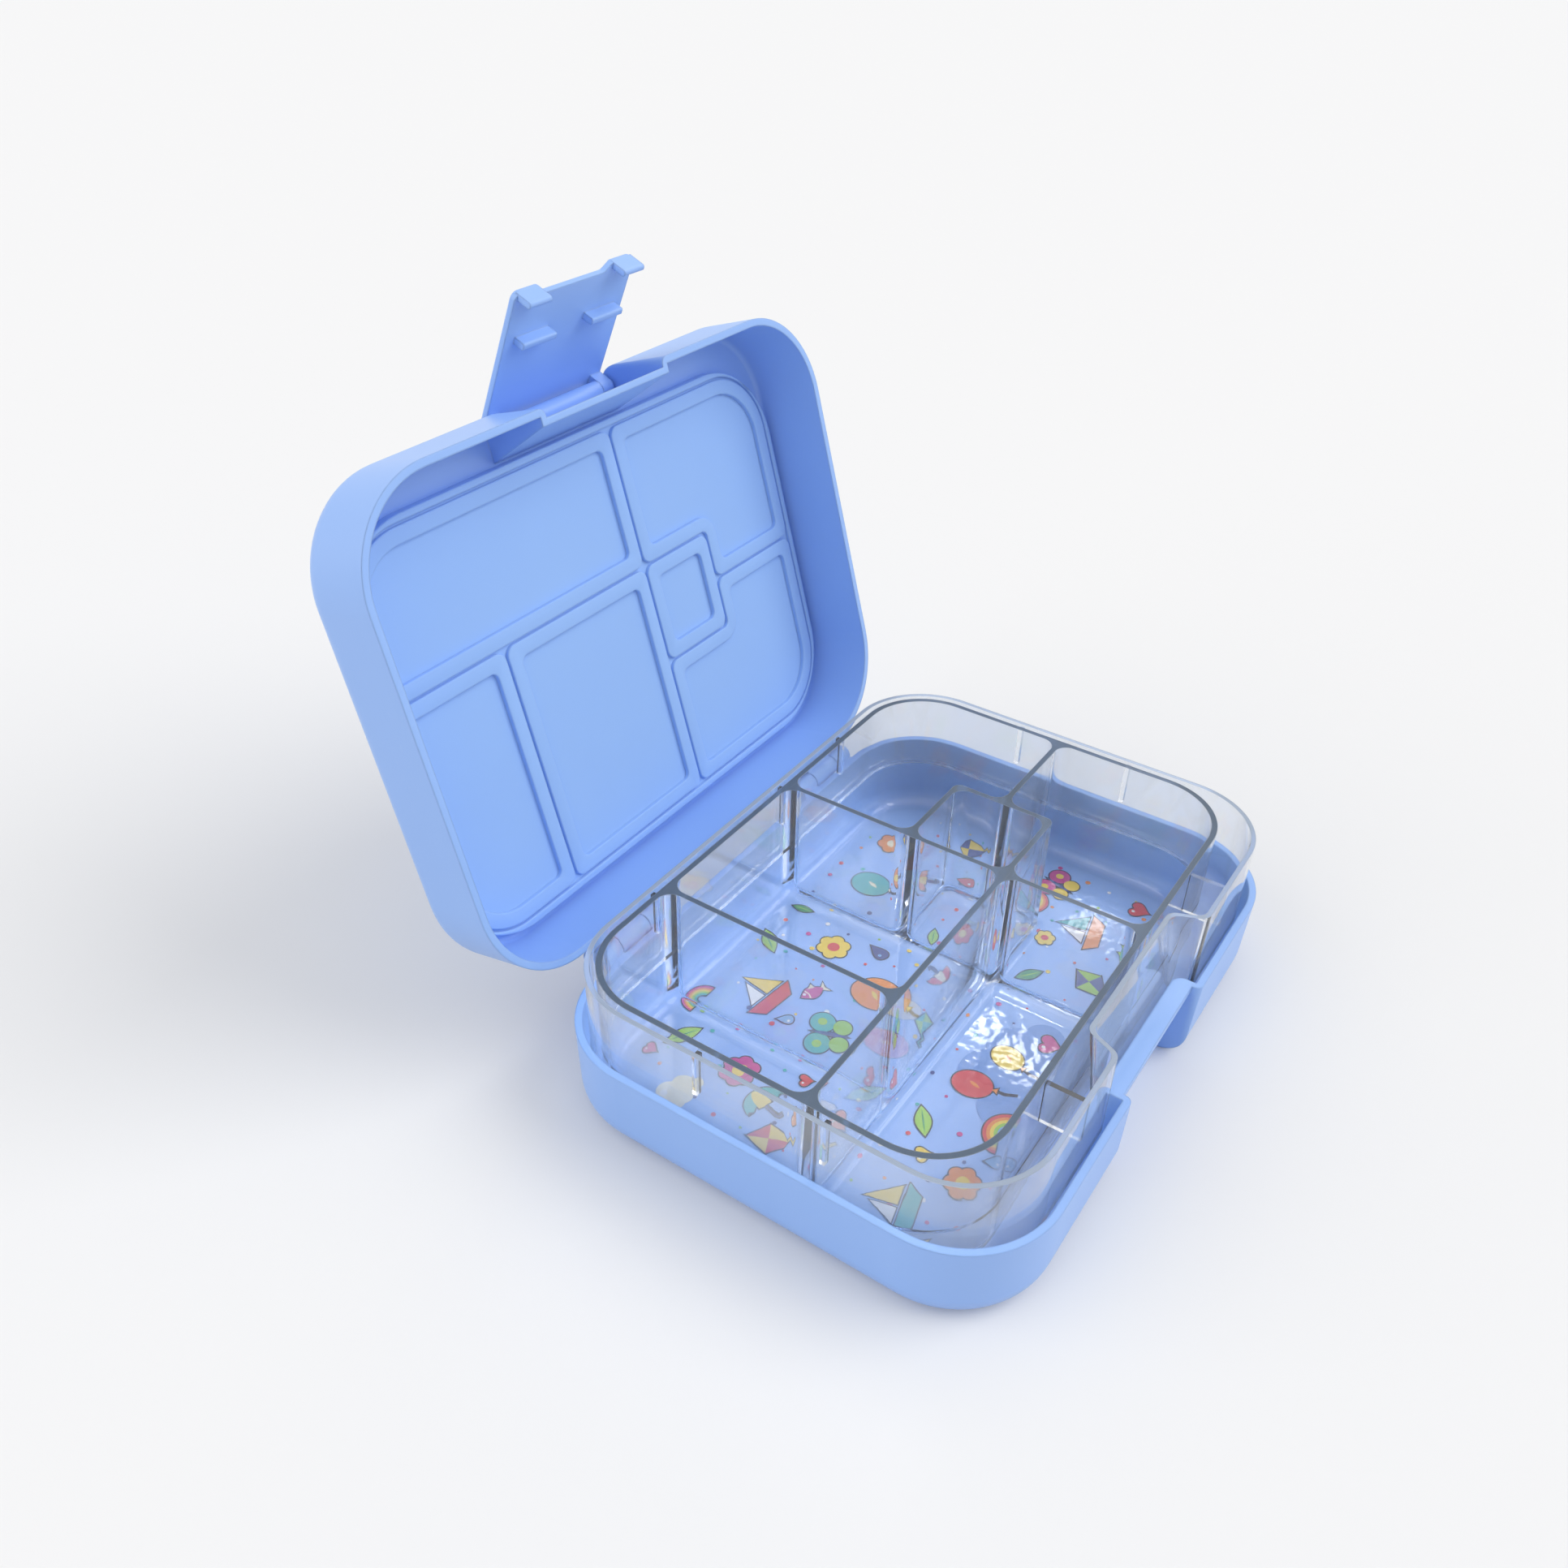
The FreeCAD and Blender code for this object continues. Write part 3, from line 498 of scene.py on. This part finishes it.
def boat(first, second):
    hull = [(-1, -0.25), (-0.65, -0.75), (0.6, -0.75), (1, -0.25)]
    return [
        (first, hull),
        (second, [(0.05, -0.12), (0.85, -0.12), (0.05, 1.0)]),
        ("white", [(-0.08, -0.12), (-0.08, 0.75), (-0.7, -0.12)]),
    ]


def balloon(first, second):
    string = [(-0.03, -0.9), (-0.09, -1.4), (0.05, -1.9), (0.10, -1.9), (-0.02, -1.4), (0.03, -0.9)]
    return [
        ("outline", string),
        (first, disc(0, 0.1, 0.78, squash=1.2)),
        (second, [(0, -0.80), (-0.16, -1.05), (0.16, -1.05)]),
        (second, spun(lens(0.30, 0.10), 1.1)),
    ]


def butterfly(first, second):
    wings = []
    for side in (-1, 1):
        wings.append((first, disc(0.52 * side, 0.36, 0.48)))
        wings.append((second, disc(0.42 * side, -0.42, 0.36)))
        wings.append((second, disc(0.55 * side, 0.38, 0.18)))
    return wings + [("navy", spun(lens(0.75, 0.10), math.pi / 2))]


def fish(first, second):
    stripe = [(-0.28, 0.36), (-0.18, 0), (-0.28, -0.36), (-0.36, -0.3), (-0.28, 0), (-0.36, 0.3)]
    return [
        (second, [(0.55, 0), (1.05, 0.42), (0.9, 0), (1.05, -0.42)]),
        (first, lens(0.8, 0.45)),
        (second, [(-0.1, 0.36), (0.3, 0.62), (0.35, 0.28)]),
        (second, stripe),
        ("white", disc(-0.5, 0.1, 0.1)),
    ]


def rainbow(first, second):
    bands = []
    arc = [math.pi * step / 20 for step in range(21)]
    for index, colour in enumerate((first, "orange", "yellow", "lime", second)):
        outer = 1 - 0.14 * index
        over = [(outer * math.cos(a), outer * math.sin(a)) for a in arc]
        under = [((outer - 0.14) * math.cos(a), (outer - 0.14) * math.sin(a)) for a in arc]
        bands.append((colour, over + under[::-1]))
    return bands


def umbrella(first, second):
    top = [math.pi * step / 18 for step in range(19)]
    dome = [(math.cos(a), 0.95 * math.sin(a)) for a in top]
    scallops = [(x / 9, 0.16 * abs(math.sin(math.pi * x / 6))) for x in range(-8, 9)]
    gore = [(0.36 * math.cos(a), 0.95 * math.sin(a)) for a in top]
    stem = [(-0.05, 0.2), (-0.05, -0.75), (0.06, -0.92), (0.22, -0.92), (0.3, -0.75), (0.22, -0.75),
            (0.16, -0.83), (0.09, -0.83), (0.05, -0.72), (0.05, 0.2)]
    return [("navy", stem), (first, dome + scallops), (second, gore)]


def cloud(first, second):
    puffs = ((-0.62, -0.15, 0.38), (-0.15, 0.18, 0.48), (0.42, 0.05, 0.42), (0.78, -0.22, 0.28),
             (0.05, -0.28, 0.36), (-0.3, -0.3, 0.3), (0.42, -0.32, 0.3))
    return [(first, disc(x, y, r)) for x, y, r in puffs] + [(second, disc(-0.3, 0.3, 0.13))]


def anticlockwise(points):
    turning = 0
    for (x0, y0), (x1, y1) in zip(points, points[1:] + points[:1]):
        turning += x0 * y1 - x1 * y0
    return points if turning > 0 else points[::-1]


def grown(points, width):
    """Outline moved out by a width, corner by corner."""
    out = []
    for before, here, after in zip(points[-1:] + points[:-1], points, points[1:] + points[:1]):
        along = (Vector(here) - Vector(before)).normalized()
        onward = (Vector(after) - Vector(here)).normalized()
        side = Vector((along.y, -along.x))
        corner = (side + Vector((onward.y, -onward.x))).normalized()
        reach = width / max(0.5, corner.dot(side))
        out.append(tuple(Vector(here) + corner * reach))
    return out


# Motif, x, y, turn in degrees, half size, two inks
MOTIFS = [
    (cloud, -14, -37, 8, 24, "pale", "sky"),
    (balloon, -25, -30, 12, 7, "red", "orange"),
    (balloon, -9, -34, -14, 6, "yellow", "orange"),
    (heart, 4, -42, 10, 4, "magenta", "white"),
    (leaf, -47, -24, 35, 6, "lime", "green"),
    (flower, -60, -45, 0, 6, "orange", "yellow"),
    (boat, -78, -32, 14, 9, "teal", "yellow"),
    (drop, -48, -51, 20, 4, "sky", "white"),
    (kite, -78, 9, 24, 8, "red", "yellow"),
    (flower, -62, 33, 15, 6, "magenta", "yellow"),
    (cloud, -80, 44, -6, 9, "cream", "white"),
    (leaf, -60, 57, -30, 6, "lime", "green"),
    (heart, -63, -2, -20, 4, "orange", "cream"),
    (drop, -88, 24, 0, 4, "teal", "white"),
    (balloon, -8, 14, -10, 9, "orange", "yellow"),
    (butterfly, -33, 18, 20, 9, "teal", "lime"),
    (flower, 3, 40, 10, 6, "yellow", "red"),
    (boat, -30, 47, -8, 10, "red", "yellow"),
    (leaf, -7, 60, 50, 6, "lime", "green"),
    (heart, -41, -4, 15, 4, "red", "white"),
    (drop, 10, 26, -20, 4, "navy", "sky"),
    (kite, -12, -4, -70, 5, "lime", "teal"),
    (flower, 36, 4, 0, 6, "red", "yellow"),
    (leaf, 28, 14, 20, 4, "lime", "green"),
    (heart, 43, -5, -10, 3, "yellow", "white"),
    (boat, 62, -28, 10, 10, "orange", "teal"),
    (kite, 38, -42, -28, 8, "lime", "navy"),
    (butterfly, 80, -10, -15, 8, "magenta", "yellow"),
    (heart, 84, -40, 0, 4, "red", "white"),
    (leaf, 30, -22, -40, 5, "green", "lime"),
    (balloon, 40, 46, 8, 8, "teal", "cream"),
    (flower, 66, 52, 0, 6, "orange", "cream"),
    (kite, 80, 26, 20, 8, "navy", "yellow"),
    (drop, 62, 18, 10, 4, "red", "white"),
    (rainbow, -37, -48, 12, 8, "red", "sky"),
    (fish, -88, -47, 30, 5, "orange", "yellow"),
    (umbrella, -68, 18, -18, 7, "teal", "yellow"),
    (fish, -20, 33, -24, 6, "magenta", "cream"),
    (rainbow, -44, 62, 0, 6, "magenta", "teal"),
    (umbrella, 12, 4, 160, 6, "red", "cream"),
    (fish, 58, -48, 18, 6, "teal", "lime"),
    (rainbow, 66, -4, -150, 7, "red", "sky"),
    (umbrella, 52, 32, 24, 6, "orange", "yellow"),
    (heart, -54, 14, 30, 2.5, "red", "white"),
    (heart, -70, 62, 0, 2.5, "magenta", "white"),
    (leaf, 14, 60, 100, 4, "green", "lime"),
    (heart, -58, -30, 40, 2.5, "yellow", "white"),
    (leaf, -88, -16, 70, 4, "green", "lime"),
    (flower, 50, -18, 0, 4, "yellow", "red"),
    (flower, -90, 60, 0, 3.5, "orange", "cream"),
    (drop, -36, 34, 30, 3, "sky", "white"),
]

# Ink films under the floor, in layers counted from the lowest; line width in mm
INK_FILM = 0.006 * MM
PRINT_FOOT = TRAY_FOOT - 0.12 * MM
LINE_WIDTH = 0.45
CLOUD_LAYER = 1
CLOUD_STEP = 0.1
LINE_LAYER = 3
FILL_LAYER = 4
INK_GRAIN_SCALE = 900
INK_SHADE = (0.86, 1.1)

# Confetti dots between the motifs, floor plan in mm
CONFETTI_INKS = ("red", "yellow", "lime", "white", "orange", "navy", "teal", "magenta")
CONFETTI_SPACING = 7.5 * MM
CONFETTI_DENSITY = 60000
CONFETTI_SEED = 11
CONFETTI_INK_SEED = 5
DOT_RADIUS = 0.75 * MM
DOT_WIDTHS = (0.55, 1.35)
DOT_SIDES = 12
FLOOR_PLAN = [
    (-90, -38), (-74, -54), (74, -54), (90, -38), (90, 48), (74, 64), (-74, 64), (-90, 48),
]


def ink_material():
    """Printed ink, its colour carried by the motif's own attribute, slightly uneven."""
    material, tree, shader = new_material("printed ink")
    ink = add(tree, "ShaderNodeAttribute", attribute_name="ink").outputs["Color"]
    grain = noise(tree, object_place(tree), INK_GRAIN_SCALE, 2)
    shade = mapped(tree, grain, wanted=INK_SHADE)
    feed(tree, shader, {"Base Color": mixed(tree, 1, ink, shade, "MULTIPLY"), "Roughness": 0.45})
    return material


PRINT_INK = ink_material()


def ink_film(shape, ink, points, layer, colour):
    """One closed film of ink on an anticlockwise plan, a layer thick."""
    low = PRINT_FOOT + layer * INK_FILM
    plan = [(x * MM, y * MM) for x, y in points]
    foot = [shape.verts.new((x, y, low)) for x, y in plan]
    head = [shape.verts.new((x, y, low + INK_FILM)) for x, y in plan]
    faces = [shape.faces.new(head), shape.faces.new(foot[::-1])]
    for index in range(len(plan)):
        after = (index + 1) % len(plan)
        faces.append(shape.faces.new((foot[index], foot[after], head[after], head[index])))
    for face in faces:
        for corner in face.loops:
            corner[ink] = INK[colour]


def printed_motifs():
    shape = bmesh.new()
    ink = shape.loops.layers.float_color.new("ink")
    for motif, x, y, turn, size, first, second in MOTIFS:
        for place, (colour, points) in enumerate(motif(first, second)):
            turned = spun(points, math.radians(turn))
            plan = anticlockwise([(x + size * px, y + size * py) for px, py in turned])
            if motif is cloud:
                ink_film(shape, ink, plan, CLOUD_LAYER + CLOUD_STEP * place, colour)
            else:
                ink_film(shape, ink, grown(plan, LINE_WIDTH), LINE_LAYER, "outline")
                ink_film(shape, ink, plan, FILL_LAYER + place, colour)
    bmesh.ops.triangulate(shape, faces=shape.faces)
    mesh = bpy.data.meshes.new("printed_motifs")
    shape.to_mesh(mesh)
    shape.free()
    mesh.materials.append(PRINT_INK)
    place_piece("printed_motifs", mesh, "base")


def confetti_tree():
    """Scatter of small ink dots over a floor plan, and the sockets of its sizes."""
    tree = bpy.data.node_groups.new("print confetti", "GeometryNodeTree")
    face = tree.interface
    face.new_socket(name="Plan", in_out="INPUT", socket_type="NodeSocketGeometry")
    sockets = {}
    for label, kind in (
        ("Spacing", "NodeSocketFloat"),
        ("Dot Radius", "NodeSocketFloat"),
        ("Film", "NodeSocketFloat"),
        ("Seed", "NodeSocketInt"),
    ):
        sockets[label] = face.new_socket(name=label, in_out="INPUT", socket_type=kind)
    face.new_socket(name="Print", in_out="OUTPUT", socket_type="NodeSocketGeometry")
    given = add(tree, "NodeGroupInput").outputs

    scatter = add(tree, "GeometryNodeDistributePointsOnFaces", distribute_method="POISSON")
    feed(tree, scatter, {
        "Mesh": given["Plan"], "Distance Min": given["Spacing"],
        "Density Max": CONFETTI_DENSITY, "Seed": given["Seed"],
    })
    dot = add(tree, "GeometryNodeMeshCylinder", {
        "Vertices": DOT_SIDES, "Radius": given["Dot Radius"], "Depth": given["Film"],
    })
    width = add(tree, "FunctionNodeRandomValue", {
        2: DOT_WIDTHS[0], 3: DOT_WIDTHS[1], "Seed": given["Seed"],
    }, data_type="FLOAT").outputs[1]
    flat = add(tree, "ShaderNodeCombineXYZ", {"X": width, "Y": width, "Z": 1})
    dots = add(tree, "GeometryNodeInstanceOnPoints", {
        "Points": scatter.outputs["Points"],
        "Instance": dot.outputs["Mesh"],
        "Scale": flat.outputs["Vector"],
    })

    pick = add(
        tree, "FunctionNodeRandomValue", {"Seed": CONFETTI_INK_SEED}, data_type="FLOAT",
    ).outputs[1]
    inks = add(tree, "ShaderNodeValToRGB", {"Fac": pick})
    inks.color_ramp.interpolation = "CONSTANT"
    stops = inks.color_ramp.elements
    while len(stops) < len(CONFETTI_INKS):
        stops.new(1)
    for index, name in enumerate(CONFETTI_INKS):
        stops[index].position = index / len(CONFETTI_INKS)
        stops[index].color = INK[name]
    inked = add(tree, "GeometryNodeStoreNamedAttribute", {
        "Geometry": dots.outputs["Instances"], "Name": "ink", "Value": inks.outputs["Color"],
    }, data_type="FLOAT_COLOR", domain="INSTANCE")
    real = add(tree, "GeometryNodeRealizeInstances", {"Geometry": inked.outputs["Geometry"]})
    dressed = add(tree, "GeometryNodeSetMaterial", {
        "Geometry": real.outputs["Geometry"], "Material": PRINT_INK,
    })
    add(tree, "NodeGroupOutput", {"Print": dressed.outputs["Geometry"]})
    return tree, sockets


def print_confetti():
    tree, sockets = confetti_tree()
    plan = bpy.data.meshes.new("confetti plan")
    height = PRINT_FOOT + INK_FILM / 2
    corners = [(x * MM, y * MM, height) for x, y in FLOOR_PLAN]
    plan.from_pydata(corners, [], [tuple(range(len(corners)))])
    carrier = bpy.data.objects.new("confetti plan", plan)
    scene.collection.objects.link(carrier)
    scatter = carrier.modifiers.new("scatter", "NODES")
    scatter.node_group = tree
    for label, size in (
        ("Spacing", CONFETTI_SPACING),
        ("Dot Radius", DOT_RADIUS),
        ("Film", INK_FILM),
        ("Seed", CONFETTI_SEED),
    ):
        scatter[sockets[label].identifier] = size
    bpy.context.view_layer.update()
    found = carrier.evaluated_get(bpy.context.evaluated_depsgraph_get())
    mesh = bpy.data.meshes.new_from_object(found)
    mesh.name = "print_confetti"
    carrier.modifiers.clear()
    bpy.data.objects.remove(carrier)
    place_piece("print_confetti", mesh, "base")


printed_motifs()
print_confetti()


# Floor, light and camera; lights as a direction or place, a strength and a spread or size
FLOOR_REACH = 60.0
AMBIENT = 0.70
BACKDROP = 0.94
KEY_LIGHT = ((0.50, -0.75, 0.80), 1.27, 45)
FILL_LIGHT = ((-0.75, 0.60, 0.50), 0.85, 60)
WINDOW_SIZE = 0.03
WINDOW_POWER = 0.22
WINDOWS = (
    ("near window", (0.598, 0.185, 0.655), (-0.007, -0.033, 0.006)),
    ("far window", (0.818, 0.179, 0.655), (0.066, -0.035, 0.006)),
)
SENSOR_WIDTH = 36
LENS_OVER_FRAME = 1704.77 / 1932
CAMERA_PLACE = Vector((-0.3088, -0.1416, 0.3298))
CAMERA_RIGHT = Vector((0.56015, -0.82812, 0.02133))
CAMERA_UP = Vector((0.47165, 0.33999, 0.81361))
CAMERA_BACK = Vector((-0.68102, -0.44568, 0.58102))


def seen_directly(tree):
    """1 for what the camera sees straight, mirrored or through the clear tray."""
    light = add(tree, "ShaderNodeLightPath").outputs
    plain = combined(tree, "MAXIMUM", light["Is Camera Ray"], light["Is Glossy Ray"])
    return combined(tree, "MAXIMUM", plain, light["Is Transmission Ray"])


def floor():
    far = FLOOR_REACH
    mesh = bpy.data.meshes.new("floor")
    corners = [(-far, -far, 0), (far, -far, 0), (far, far, 0), (-far, far, 0)]
    mesh.from_pydata(corners, [], [(0, 1, 2, 3)])
    plane = bpy.data.objects.new("floor", mesh)
    scene.collection.objects.link(plane)
    material, tree, shader = new_material("floor paper")
    feed(tree, shader, {
        "Base Color": mixed(tree, seen_directly(tree), FLOOR_BOUNCE, FLOOR_WHITE),
        "Roughness": 0.9,
        "Specular IOR Level": 0,
    })
    mesh.materials.append(material)


def sun(name, towards_light, strength, spread):
    lamp = bpy.data.lights.new(name, "SUN")
    lamp.energy = strength
    lamp.angle = math.radians(spread)
    light = bpy.data.objects.new(name, lamp)
    scene.collection.objects.link(light)
    light.matrix_world = Vector(towards_light).to_track_quat("Z", "Y").to_matrix().to_4x4()


def window(name, place, target):
    """Small bright window that shows only as glints on glossy floors."""
    lamp = bpy.data.lights.new(name, "AREA")
    lamp.size = WINDOW_SIZE
    lamp.energy = WINDOW_POWER
    pane = bpy.data.objects.new(name, lamp)
    scene.collection.objects.link(pane)
    aim = Vector(target) - Vector(place)
    turn = aim.to_track_quat("-Z", "Y").to_matrix().to_4x4()
    pane.matrix_world = Matrix.Translation(place) @ turn
    pane.visible_diffuse = False
    pane.visible_transmission = False


def studio():
    world = bpy.data.worlds.new("studio")
    scene.world = world
    world.use_nodes = True
    tree = world.node_tree
    feed(tree, tree.nodes["Background"], {
        "Color": STUDIO_WHITE,
        "Strength": mapped(tree, seen_directly(tree), wanted=(AMBIENT, BACKDROP)),
    })
    sun("key light", *KEY_LIGHT)
    sun("fill light", *FILL_LIGHT)
    for name, place, target in WINDOWS:
        window(name, place, target)


def camera():
    """Camera solved from the photograph."""
    data = bpy.data.cameras.new("camera")
    data.sensor_fit = "HORIZONTAL"
    data.sensor_width = SENSOR_WIDTH
    data.lens = SENSOR_WIDTH * LENS_OVER_FRAME
    data.clip_start = 0.01
    eye = bpy.data.objects.new("camera", data)
    scene.collection.objects.link(eye)
    turn = Matrix((CAMERA_RIGHT, CAMERA_UP, CAMERA_BACK)).transposed()
    eye.matrix_world = Matrix.Translation(CAMERA_PLACE) @ turn.to_4x4()
    scene.camera = eye


floor()
studio()
camera()
scene.view_settings.view_transform = "Standard"

bpy.context.view_layer.update()
